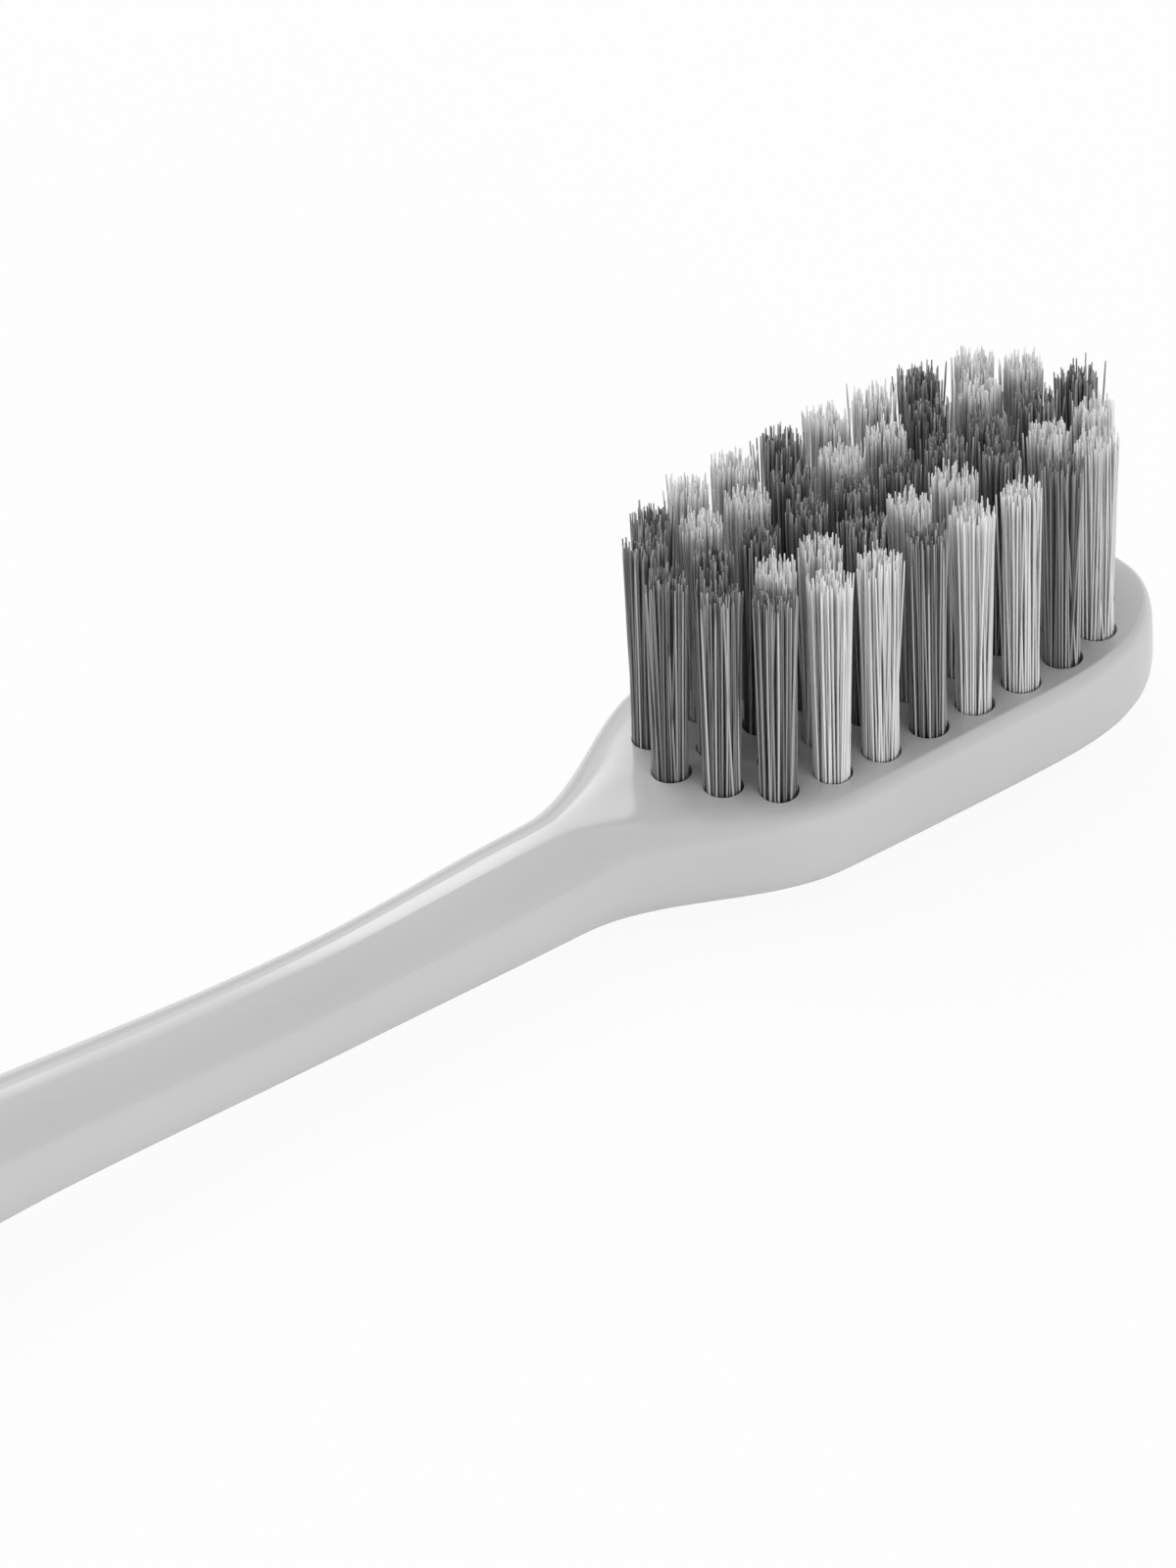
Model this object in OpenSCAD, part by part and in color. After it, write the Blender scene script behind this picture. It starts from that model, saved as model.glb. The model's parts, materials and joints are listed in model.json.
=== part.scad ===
// Manual toothbrush, lying on its back with the bristles up.
// X runs from the tail to the tip of the head, Y across and Z up. The origin is under the middle
// of the brush, on the surface that it lies on.

/* [Overall] */
// Length from the tail to the tip of the head
overall_l = 190; // [175:1:205]
// Height of the tuft face above the surface that the brush lies on
face_z = 5.7; // [5.5:0.1:7]

/* [Tuft field] */
// Tufts in the middle row; each row further out has one fewer
middle_tufts = 10; // [7:1:11]
// Spacing of the tufts along a row
pitch = 2.44; // [2.3:0.02:2.8]
// Distance from the middle row to an inner row
inner_row_step = 2.25; // [2.1:0.05:2.7]
// Distance from an inner row to the outer row beside it
outer_row_step = 2.42; // [2.3:0.05:2.8]
// How far the end tufts of an outer row draw in towards the middle
outer_draw = 0.75; // [0:0.05:0.8]
// How far the first tuft of an inner row stands back from even spacing, towards the neck
inner_set_back = 0.34; // [0:0.02:0.4]
// Diameter of a tuft hole
hole_d = 1.65; // [1.55:0.05:1.8]

/* [Head] */
// Thickness of the head, from the tuft face to its back
head_t = 4.5; // [4.2:0.1:4.8]
// Plastic left under a tuft hole
hole_floor = 1.5; // [1.2:0.1:1.7]
// Plastic beside the outer rows, out to the widest line of the head
side_rim = 0.95; // [0.8:0.05:1.6]
// Plastic ahead of the middle row, out to the tip
tip_rim = 1.3; // [1.2:0.05:2]
// Length over which the head narrows to its round tip
nose_l = 10.1; // [8:0.1:12]
// How far ahead of the last middle tuft the shoulder starts to narrow
shoulder_lead = 4.4; // [2:0.1:5]
// Length over which the shoulder narrows from the head to the neck
shoulder_l = 10.5; // [8:0.1:14]
// Depth of the widest line of the head below the tuft face
widest_d = 2.1; // [1.8:0.1:2.4]
// How far the rounded top of the head would stand over the tuft face if it were not cut flat
crown_h = 0.55; // [0.4:0.05:0.7]

/* [Neck] */
// Diameter of the neck where it leaves the shoulder
neck_root_d = 4.84; // [4.4:0.02:5.4]
// How far the top of the neck lies below the tuft face there
neck_root_drop = 0.03; // [0.03:0.01:0.3]
// Diameter of the neck at its slimmest place
neck_slim_d = 4.42; // [4:0.02:4.8]
// How far the top of the neck lies below the tuft face there
neck_slim_drop = 0.39; // [0.2:0.01:0.6]
// Distance from the middle of the tuft field to the slimmest place
neck_slim_l = 28; // [25:1:32]
// Diameter of the neck where the handle begins
neck_end_d = 5.06; // [4.8:0.02:6]
// How far the top of the neck has risen over the tuft face there
neck_end_rise = 0.66; // [0.3:0.02:1.2]
// Distance from the middle of the tuft field to the end of the neck
neck_end_l = 45; // [40:1:50]

/* [Grip] */
// Distance from the middle of the tuft field to the thumb rest
thumb_l = 82; // [75:1:90]
// Width at the thumb rest
thumb_w = 12; // [10:0.5:14]
// Height of the thumb rest above the surface that the brush lies on
thumb_h = 10; // [9:0.1:11]
// Distance from the thumb rest back to the waist of the grip
waist_l = 30; // [24:1:34]
// Width at the waist
waist_w = 10; // [9:0.5:12]
// Height at the waist
waist_h = 8.7; // [8:0.1:9.5]
// Distance from the waist back to the palm swell
palm_l = 34; // [28:1:38]
// Width at the palm swell
palm_w = 11.4; // [10:0.2:13]
// Height at the palm swell
palm_h = 9.4; // [8.5:0.1:10.5]
// Length over which the tail rounds off
tail_l = 14; // [10:1:16]
// Depth of the flat land that the brush lies on, cut into its round back
land_depth = 0.35; // [0.25:0.05:0.5]

/* [Bristles] */
// Height of the bristle tips above the tuft face
trim_h = 9.9; // [8:0.1:12]
// Strands in a tuft
strands = 11; // [8:1:11]
// Width of a strand across its flats
strand_w = 0.18; // [0.12:0.01:0.2]
// How much wider a tuft is at its tips than at the face
splay = 1.45; // [1.1:0.05:1.5]
// Difference between the longest and the shortest strand
ragged_h = 0.4; // [0:0.05:0.8]
// Depth below the tuft face at which the strands leave the packed root
root_drop = 0.25; // [0.15:0.05:0.4]

/* [Anchors] */
// Thickness of an anchor plate
anchor_t = 0.25; // [0.2:0.05:0.3]
// Height of an anchor plate
anchor_h = 1.2; // [1:0.1:1.4]
// How far each end of an anchor plate bites into the plastic
anchor_bite = 0.1; // [0.06:0.01:0.15]
// Height of the fold of the strands under an anchor plate
fold_h = 0.35; // [0.25:0.05:0.45]

/* [Fits] */
// Clearance between the packed root of a tuft and its hole
root_gap = 0.05; // [0.02:0.01:0.08]
// Clearance all round an anchor plate
anchor_gap = 0.02; // [0.01:0.01:0.03]

/* [Hidden] */
// Exponents of the cross-sections: 2 is an ellipse, and more is squarer
crown_power = 5;
belly_power = 4.5;
neck_power = 2.3;
grip_power = 2.4;
// Exponents of the outline of the tip, lengthwise and across, and of the tail
nose_power = 2.85;
nose_round = 2;
tail_power = 2.3;
// Draw-in of the outer rows grows with this power of the distance from the middle
draw_power = 4;
// How much narrower the head is where the shoulder starts than where the nose starts
head_taper = 0.12;
// Sides of a cross-section, and cross-sections along each stretch
section_sides = 32;
tail_rings = 9;
grip_rings = 20;
neck_rings = 9;
shoulder_rings = 12;
head_rings = 4;
nose_rings = 14;
// Turn between neighbouring strands of a tuft, and sides of a strand
strand_turn = 137.5;
strand_sides = 4;
// Every such strand is a step shorter than the last, round and round the lengths
ragged_step = 7;
// Sides of a tuft hole and of the packed root in it
hole_sides = 32;
// Every such tuft of an inner or outer row, counted from the neck, is dark
dark_every = 3;
// Overshoot of a cutting block past the surface that it cuts
spill = 1;

plastic_colour = "#cfcfcf";
dark_colour = "#5c5c5e";
light_colour = "#e2e2e2";
anchor_colour = "#b8a470";

// Places along the brush
tip_x = overall_l / 2;
tail_x = -overall_l / 2;
field_half_l = (middle_tufts - 1) / 2 * pitch;
field_x = tip_x - tip_rim - hole_d / 2 - field_half_l;
nose_x = tip_x - nose_l;
shoulder_x = field_x - field_half_l + shoulder_lead;
neck_root_x = shoulder_x - shoulder_l;
neck_end_x = field_x - neck_end_l;
thumb_x = field_x - thumb_l;
waist_x = thumb_x - waist_l;
palm_x = waist_x - palm_l;
tail_start_x = tail_x + tail_l;

// Sizes of the head
outer_row_y = inner_row_step + outer_row_step;
head_half_w = outer_row_y + hole_d / 2 + side_rim;
crown_up = widest_d + crown_h;
belly_down = head_t - widest_d;

// Heights in a tuft hole
hole_z = face_z - head_t + hole_floor;
anchor_z = hole_z + fold_h;
anchor_w = hole_d + 2 * anchor_bite;
root_d = hole_d - 2 * root_gap;
root_top_z = face_z - root_drop;
tip_z = face_z + trim_h;

// Stations of the neck and the grip, from the tail forwards
station_x = [tail_x, palm_x, waist_x, thumb_x, neck_end_x, field_x - neck_slim_l, neck_root_x];
station_w = [palm_w, palm_w, waist_w, thumb_w, neck_end_d, neck_slim_d, neck_root_d];
station_top = [
    palm_h,
    palm_h,
    waist_h,
    thumb_h,
    face_z + neck_end_rise,
    face_z - neck_slim_drop,
    face_z - neck_root_drop
];
station_bottom = [
    -land_depth,
    -land_depth,
    -land_depth,
    -land_depth,
    face_z + neck_end_rise - neck_end_d,
    face_z - neck_slim_drop - neck_slim_d,
    face_z - neck_root_drop - neck_root_d
];
station_power = [grip_power, grip_power, grip_power, grip_power, neck_power, neck_power, neck_power];

// A smooth curve through the stations that rises and falls only where they do
function secant(v, i) = (v[i + 1] - v[i]) / (station_x[i + 1] - station_x[i]);
function slope(v, i) =
    i == 0 || i == len(v) - 1
        ? 0
        : let (a = secant(v, i - 1), b = secant(v, i)) a * b <= 0 ? 0 : 2 * a * b / (a + b);
function span(x, i = 0) = i >= len(station_x) - 2 || x < station_x[i + 1] ? i : span(x, i + 1);
function fair(v, x) =
    let (
        i = span(x),
        l = station_x[i + 1] - station_x[i],
        t = max(0, min(1, (x - station_x[i]) / l))
    )
    v[i] * (2 * t ^ 3 - 3 * t ^ 2 + 1)
        + slope(v, i) * l * (t ^ 3 - 2 * t ^ 2 + t)
        + v[i + 1] * (3 * t ^ 2 - 2 * t ^ 3)
        + slope(v, i + 1) * l * (t ^ 3 - t ^ 2);

// How much of the head there is at x: none on the neck, all of it past the shoulder
function head_share(x) = (1 - cos(180 * max(0, min(1, (x - neck_root_x) / shoulder_l)))) / 2;
function mix(a, b, share) = a + (b - a) * share;

// How full the ends are at x, from 0 at the very end to 1 where the rounding starts
function fullness(reach, l, lengthwise, across) =
    (1 - max(0, 1 - reach / l) ^ lengthwise) ^ (1 / across);
function nose(x) = fullness(tip_x - x, nose_l, nose_power, nose_round);
function edge(x, power) = fullness(tip_x - x, nose_l, power, power);
function tail(x) = fullness(x - tail_x, tail_l, tail_power, tail_power);

// Half-width, widest line, height above it and depth below it at x
function taper(x) = max(0, min(1, (nose_x - x) / (nose_x - shoulder_x))) ^ 2;
function half_w(x) =
    mix(fair(station_w, x) / 2, head_half_w - head_taper * taper(x), head_share(x)) * nose(x) * tail(x);
function middle_z(x) = (fair(station_top, x) + fair(station_bottom, x)) / 2;
function widest_z(x) = mix(middle_z(x), face_z - widest_d, head_share(x));
function half_t(x) = (fair(station_top, x) - fair(station_bottom, x)) / 2;
function up(x) = mix(half_t(x), crown_up, head_share(x)) * edge(x, crown_power) * tail(x);
function down(x) = mix(half_t(x), belly_down, head_share(x)) * edge(x, belly_power) * tail(x);
function top_power(x) = mix(fair(station_power, x), crown_power, head_share(x));
function bottom_power(x) = mix(fair(station_power, x), belly_power, head_share(x));

// One cross-section, a squared ellipse with its own height and exponent above and below
function rounded(v, power) = sign(v) * abs(v) ^ (2 / power);
function section(x) =
    let (w = half_w(x), z = widest_z(x), a = up(x), b = down(x), p = top_power(x), q = bottom_power(x))
    [
        for (i = [0 : section_sides - 1])
            let (t = 360 * i / section_sides, power = sin(t) >= 0 ? p : q)
            [x, w * rounded(cos(t), power), z + (sin(t) >= 0 ? a : b) * rounded(sin(t), power)]
    ];

// Where the cross-sections stand, closer together towards both ends
function spread(a, b, n) = [for (i = [0 : n - 1]) a + (b - a) * i / n];
ring_x = concat(
    [for (i = [1 : tail_rings - 1]) tail_x + tail_l * (i / tail_rings) ^ 2],
    spread(tail_start_x, neck_end_x, grip_rings),
    spread(neck_end_x, neck_root_x, neck_rings),
    spread(neck_root_x, shoulder_x, shoulder_rings),
    spread(shoulder_x, nose_x, head_rings),
    [for (i = [nose_rings : -1 : 1]) tip_x - nose_l * (i / nose_rings) ^ 2]
);

// The moulding before its flats and holes are cut, as a skin of triangles over the cross-sections
module moulding() {
    n = section_sides;
    rings = len(ring_x);
    points = concat(
        [for (x = ring_x) each section(x)],
        [[tail_x, 0, widest_z(tail_x)], [tip_x, 0, widest_z(tip_x)]]
    );
    side = [
        for (r = [0 : rings - 2], i = [0 : n - 1])
            let (j = (i + 1) % n, a = r * n, b = a + n)
            each [[a + i, b + j, a + j], [a + i, b + i, b + j]]
    ];
    ends = [
        for (i = [0 : n - 1])
            let (j = (i + 1) % n, last = (rings - 1) * n)
            each [[rings * n, i, j], [rings * n + 1, last + j, last + i]]
    ];
    polyhedron(points, concat(side, ends));
}

// The rows of tufts: name, place across, number of tufts, draw-in, set-back and whether all are dark
tuft_rows = [
    ["left_outer", outer_row_y, middle_tufts - 2, outer_draw, 0, false],
    ["left_inner", inner_row_step, middle_tufts - 1, 0, inner_set_back, false],
    ["middle", 0, middle_tufts, 0, 0, true],
    ["right_inner", -inner_row_step, middle_tufts - 1, 0, inner_set_back, false],
    ["right_outer", -outer_row_y, middle_tufts - 2, outer_draw, 0, false]
];

// Every tuft: node name, place on the tuft face, dark or light, and its turn about its own axis
function tuft_in_row(row, i) =
    let (
        reach = (row[2] - 1) / 2 * pitch,
        x = i * pitch - reach - (i == 0 ? row[4] : 0),
        y = row[1] - sign(row[1]) * row[3] * (abs(x) / reach) ^ draw_power
    )
    [
        str("tuft_", row[0], "_", i + 1),
        [field_x + x, y],
        row[5] || i % dark_every == 0,
        strand_turn * i + 360 * (row[1] + outer_row_y) / outer_row_y
    ];
tufts = [for (row = tuft_rows, i = [0 : row[2] - 1]) tuft_in_row(row, i)];

// Head, neck and grip in one moulding, with a blind hole for each tuft
module handle() {
    color(plastic_colour)
        difference() {
            moulding();
            // Flat tuft face
            translate([neck_root_x, -head_half_w - spill, face_z])
                cube([tip_x + spill - neck_root_x, 2 * (head_half_w + spill), crown_up]);
            // Flat land under the grip
            translate([tail_x - spill, -thumb_w, -2 * land_depth])
                cube([neck_end_x - tail_x + spill, 2 * thumb_w, 2 * land_depth]);
            for (tuft = tufts)
                translate([tuft[1][0], tuft[1][1], 0]) {
                    translate([0, 0, hole_z])
                        cylinder(h = head_t, d = hole_d, $fn = hole_sides);
                    anchor_block(anchor_gap);
                }
        }
}

// The block that an anchor plate fills, grown by a clearance on each side
module anchor_block(gap) {
    translate([-anchor_w / 2 - gap, -anchor_t / 2 - gap, anchor_z - gap])
        cube([anchor_w + 2 * gap, anchor_t + 2 * gap, anchor_h + 2 * gap]);
}

// Metal plates that hold the folded tufts down in their holes
module anchor_plates() {
    color(anchor_colour)
        for (tuft = tufts)
            translate([tuft[1][0], tuft[1][1], 0])
                anchor_block(0);
}

// One strand as a slanted bar with straight sides, from a foot in the root to its tip
module strand(foot, tip) {
    n = strand_sides;
    corner_r = strand_w / 2 / cos(180 / n);
    corner = [for (i = [0 : n - 1]) let (t = 360 * (i + 0.5) / n) corner_r * [cos(t), sin(t), 0]];
    side = [for (i = [0 : n - 1]) let (j = (i + 1) % n) each [[i, n + j, j], [i, n + i, n + j]]];
    ends = [for (i = [1 : n - 2]) each [[0, i, i + 1], [n, n + i + 1, n + i]]];
    polyhedron(
        [for (end = [foot, tip], c = corner) end + c],
        concat(side, ends)
    );
}

// The strands of one tuft, spread like seeds in a sunflower and leaning outwards
module strand_bundle() {
    foot_r = root_d / 2 - strand_w;
    foot_z = root_top_z - root_drop;
    for (i = [0 : strands - 1])
        let (
            spoke = sqrt((i + 0.5) / strands) * [cos(strand_turn * i), sin(strand_turn * i), 0],
            short = ragged_h * ((i * ragged_step) % strands) / (strands - 1)
        )
        strand(
            foot_r * spoke + [0, 0, foot_z],
            foot_r * splay * spoke + [0, 0, tip_z - short]
        );
}

// A tuft: strands folded round the anchor plate, packed into a round root in the hole
module tuft(place) {
    color(place[2] ? dark_colour : light_colour)
        translate([place[1][0], place[1][1], 0])
            union() {
                difference() {
                    translate([0, 0, hole_z])
                        cylinder(h = root_top_z - hole_z, d = root_d, $fn = hole_sides);
                    anchor_block(anchor_gap);
                }
                rotate([0, 0, place[3]])
                    strand_bundle();
            }
}

handle();
anchor_plates();
for (place = tufts)
    tuft(place);
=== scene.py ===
"""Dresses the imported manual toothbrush: moulded handle, nylon tufts, brass anchors and a pale studio."""

import json
import math

import bpy
import numpy as np
from bpy.props import FloatProperty, FloatVectorProperty, IntProperty, PointerProperty
from mathutils import Matrix, Vector


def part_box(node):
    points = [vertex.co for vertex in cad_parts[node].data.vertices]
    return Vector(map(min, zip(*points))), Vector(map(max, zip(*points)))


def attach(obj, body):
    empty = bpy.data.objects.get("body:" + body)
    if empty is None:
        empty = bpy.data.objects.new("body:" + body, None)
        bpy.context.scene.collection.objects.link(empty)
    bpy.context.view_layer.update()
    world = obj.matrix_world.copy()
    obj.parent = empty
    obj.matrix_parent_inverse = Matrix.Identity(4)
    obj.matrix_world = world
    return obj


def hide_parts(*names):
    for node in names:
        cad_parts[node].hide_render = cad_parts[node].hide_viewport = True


bl_info = {
    "name": "Manual toothbrush",
    "version": (1, 0, 0),
    "blender": (4, 5, 0),
    "location": "View3D > Sidebar > Toothbrush",
    "description": "Dresses a packed toothbrush with its moulded handle, nylon tufts and brass anchors",
    "category": "Object",
}

MM = 0.001

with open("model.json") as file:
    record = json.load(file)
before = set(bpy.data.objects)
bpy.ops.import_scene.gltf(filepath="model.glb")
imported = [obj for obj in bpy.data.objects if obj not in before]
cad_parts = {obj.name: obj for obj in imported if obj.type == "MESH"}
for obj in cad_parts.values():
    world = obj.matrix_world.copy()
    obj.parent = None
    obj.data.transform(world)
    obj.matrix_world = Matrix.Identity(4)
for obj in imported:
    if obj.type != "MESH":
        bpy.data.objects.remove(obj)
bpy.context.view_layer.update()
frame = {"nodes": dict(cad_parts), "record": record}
HANDLE_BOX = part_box("handle")
SLOT_OF = {row["node"]: row["material_slot"] for row in frame["record"]["subparts"]}
TUFT_NODES = [node for node in SLOT_OF if node.startswith("tuft_")]
TUFT_BOXES = {node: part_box(node) for node in TUFT_NODES}
TUFT_PLACES = {node: (lo + hi) / 2 for node, (lo, hi) in TUFT_BOXES.items()}
FIELD_FRONT = max(place.x for place in TUFT_PLACES.values())
FIELD_BACK = min(place.x for place in TUFT_PLACES.values())
FIELD_X = (FIELD_FRONT + FIELD_BACK) / 2
HOLE_FLOOR = min(lo.z for lo, hi in TUFT_BOXES.values())
TRIM_TOP = max(hi.z for lo, hi in TUFT_BOXES.values())
ANCHOR_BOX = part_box("anchor_plates")


# Properties

def length(label, mm, text):
    """A size that is written in millimetres and kept in metres."""
    return FloatProperty(name=label, description=text, default=mm * MM, precision=5, unit="LENGTH")


def ratio(label, value, text):
    """A plain number without a unit."""
    return FloatProperty(name=label, description=text, default=value)


def angle(label, degrees, text):
    """An angle that is written in degrees and kept in radians."""
    return FloatProperty(name=label, description=text, default=math.radians(degrees), subtype="ANGLE")


def linear(code):
    """An sRGB hex colour as linear red, green and blue."""
    parts = [int(code[i:i + 2], 16) / 255 for i in (1, 3, 5)]
    return [c / 12.92 if c <= 0.04045 else ((c + 0.055) / 1.055) ** 2.4 for c in parts]


def colour(label, code, text):
    """A colour that is written as sRGB hex and kept linear."""
    return FloatVectorProperty(name=label, description=text, default=linear(code), subtype="COLOR")


class HandleSizes(bpy.types.PropertyGroup):
    """Sizes and finish of the moulded handle. The frame gives its length and width."""

    face_z: length("Face height", 5.7, "Flat tuft face over the table")
    head_t: length("Head thickness", 4.5, "From the tuft face to the underside of the head")
    widest_d: length("Widest line", 2.1, "Depth of the widest line of the head under the face")
    crown_h: length("Crown", 0.55, "How far the uncut crown would rise over the face")
    nose_l: length("Nose length", 10.1, "Length over which the head rounds to its tip")
    shoulder_lead: length("Shoulder lead", 4.4, "From the first tuft to the full head width")
    shoulder_l: length("Shoulder length", 10.5, "Length over which the neck widens to the head")
    head_taper: length("Head taper", 0.12, "How much each side narrows from the nose to the shoulder")
    neck_root_d: length("Neck root", 4.84, "Neck diameter where the shoulder starts")
    neck_root_drop: length("Neck root drop", 0.03, "Top of the neck root under the face")
    neck_slim_d: length("Slim neck", 4.42, "Neck diameter at its slimmest")
    neck_slim_drop: length("Slim neck drop", 0.39, "Top of the slim neck under the face")
    neck_slim_l: length("Slim neck place", 28, "From the middle of the tufts back to the slimmest place")
    neck_end_d: length("Neck end", 5.06, "Neck diameter where the grip starts")
    neck_end_rise: length("Neck end rise", 0.66, "Top of the neck end over the face")
    neck_end_l: length("Neck end place", 45, "From the middle of the tufts back to the neck end")
    thumb_l: length("Thumb place", 82, "From the middle of the tufts back to the thumb swell")
    thumb_w: length("Thumb width", 12, "Width of the thumb swell")
    thumb_h: length("Thumb height", 10, "Height of the thumb swell")
    waist_l: length("Waist place", 30, "From the thumb swell back to the waist")
    waist_w: length("Waist width", 10, "Width of the waist")
    waist_h: length("Waist height", 8.7, "Height of the waist")
    palm_l: length("Palm place", 34, "From the waist back to the palm")
    palm_w: length("Palm width", 11.4, "Width of the palm")
    palm_h: length("Palm height", 9.4, "Height of the palm")
    tail_l: length("Tail length", 14, "Length over which the grip rounds to its tail")
    land_depth: length("Land depth", 0.35, "How much of the grip's underside the flat land takes off")
    crown_power: ratio("Crown squareness", 5, "Exponent of the head's upper half")
    belly_power: ratio("Belly squareness", 4.5, "Exponent of the head's lower half")
    neck_power: ratio("Neck squareness", 2.3, "Exponent of the neck's cross-section")
    grip_power: ratio("Grip squareness", 2.4, "Exponent of the grip's cross-section")
    nose_power: ratio("Nose squareness", 2.85, "Exponent of the nose along the brush")
    nose_round: ratio("Nose roundness", 2, "Exponent of the nose across the brush")
    tail_power: ratio("Tail squareness", 2.3, "Exponent of the tail")
    rim_blend: length("Rim blend", 0.05, "How softly the face meets the side of the head")
    soft_power: ratio("Soft squareness", 7, "Exponent of the face on the shoulder, where it has no rim")
    rim_fade: length("Rim fade", 9, "Length on the head over which the rim of the face turns crisp")
    hole_d: length("Hole", 1.65, "Diameter of a tuft hole")
    hole_break: length("Hole edge break", 0.04, "Chamfer at the mouth of a tuft hole")
    plastic: colour("Plastic", "#cacaca", "Colour of the moulded polypropylene")
    gloss_roughness: ratio("Gloss roughness", 0.07, "Roughness of the grip and the neck")
    head_roughness: ratio("Head roughness", 0.16, "Roughness of the head, which is drilled after moulding")


class TuftSizes(bpy.types.PropertyGroup):
    """Sizes and colours of the bristle tufts. The frame gives their places, hole floors and trim height."""

    filament_d: length("Filament", 0.088, "Diameter of one nylon filament")
    pitch: length("Filament pitch", 0.128, "Distance between filaments at the face")
    bundle_d: length("Bundle", 1.55, "Diameter of the bundle at the face")
    splay: ratio("Splay", 1.21, "Width of the bundle at its tips over its width at the face")
    tip_lean: FloatVectorProperty(
        name="Tip lean",
        description="How far the tips stand towards the nose, and towards the left side where it is above 0",
        default=(0.12 * MM, -0.08 * MM),
        size=2,
        precision=5,
        unit="LENGTH",
    )
    stray: length("Stray", 0.11, "How far a tip wanders from its place")
    bow: length("Bow", 0.014, "How far a filament bows")
    gather: ratio("Gather", 0.2, "How far filaments draw together in strands towards their tips")
    ragged: length("Ragged trim", 0.9, "Height range of the trimmed tips")
    # Painted light in the nylon's colour, not lamps. The colour gets painted shade deep in a tuft, which
    # fades out over this length at the tips and fades faster or slower by the reach. Tips of light nylon get
    # a painted highlight and tips of dark nylon get painted shade.
    painted_tip_light_l: length("Lit tips", 0.9, "Length of the tips that catch more light")
    light_painted_shade: ratio("Light dusk", 0.66, "Share of its colour that light nylon loses deep in a tuft")
    dark_painted_shade: ratio("Dark dusk", 0.95, "Share of its colour that dark nylon loses deep in a tuft")
    light_painted_shade_reach: ratio("Light reach", 2, "How fast light nylon brightens towards the tips")
    dark_painted_shade_reach: ratio("Dark reach", 0.5, "How fast dark nylon brightens towards the tips")
    light_painted_tip_light: ratio("Light glow", 0.17, "How much brighter the tips of light nylon are")
    dark_painted_tip_light: ratio("Dark glow", -0.28, "The same for dark nylon, which soaks up the light")
    tip_share: ratio("Tip width", 0.66, "Width of a filament at its tip over its diameter")
    tip_round: length("Tip rounding", 0.035, "Height of the rounding at a tip")
    seed: IntProperty(name="Seed", description="Start of the random draws", default=7)
    light: colour("Light nylon", "#e8e8e8", "Colour of the light filaments")
    dark: colour("Dark nylon", "#b3b3b3", "Colour of the dark filaments")


class AnchorLook(bpy.types.PropertyGroup):
    """Finish of the anchor plates."""

    brass: colour("Brass", "#c8a766", "Colour of the rolled brass strip")


class StageSettings(bpy.types.PropertyGroup):
    """Camera, lamps and floor."""

    target_x: length("Target along", 68.05, "Place along the brush that the camera looks at")
    target_y: length("Target across", 1.85, "Place across the brush that the camera looks at")
    target_z: length("Target height", 5.4, "Height that the camera looks at")
    distance: length("Distance", 478, "Camera to target")
    azimuth: angle("Azimuth", -37.49, "Camera direction round the brush, 0 is square to its right side")
    elevation: angle("Elevation", 35.61, "Camera height as an angle")
    roll: angle("Roll", -2.52, "Turn of the camera about its own axis")
    lens: FloatProperty(name="Lens", description="Focal length in millimetres", default=270)
    floor: colour("Floor", "#f2f2f2", "Colour of the floor")
    white_share: ratio("White share", 0.93, "How much of the floor is plain white; the rest keeps the shadow")
    mirror_share: ratio("Mirror share", 0.45, "The same where the gloss mirrors the floor")
    room: ratio("Room", 0.487, "Level of the even light from the walls of the studio")
    back_wall: ratio("Back wall", 0.54, "Level that the wall behind the brush adds")
    back_level: ratio("Back softbox", 2.05, "Level of the softbox behind the brush")
    top_level: ratio("Top softbox", 1.72, "Level of the softbox over the brush")
    front_level: ratio("Front softbox", 6, "Level of the softbox in front of the brush")


# Form of the moulding

NEVER_ZERO = 1e-9  # Keeps a divisor from being 0
SOFT_RISE = 0.7  # Exponent of how the section turns square along the shoulder
HALVINGS = 60  # Steps of the search for the outline


def mix(a, b, share):
    return a + (b - a) * share


def smooth_step(a, b, x):
    """Rises smoothly from 0 at a to 1 at b."""
    t = np.clip((x - a) / (b - a), 0, 1)
    return t * t * (3 - 2 * t)


def soft_min(a, b, blend):
    """The lower of two heights, with a fillet of that size where they meet."""
    near = np.maximum(blend - np.abs(a - b), 0)
    return np.minimum(a, b) - near ** 2 / (4 * blend)


def fullness(reach, span, lengthwise, across):
    """How full a rounded end is at a distance from its tip, from 0 to 1."""
    left = np.clip(1 - reach / span, 0, 1)
    return (1 - left ** lengthwise) ** (1 / across)


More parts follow.
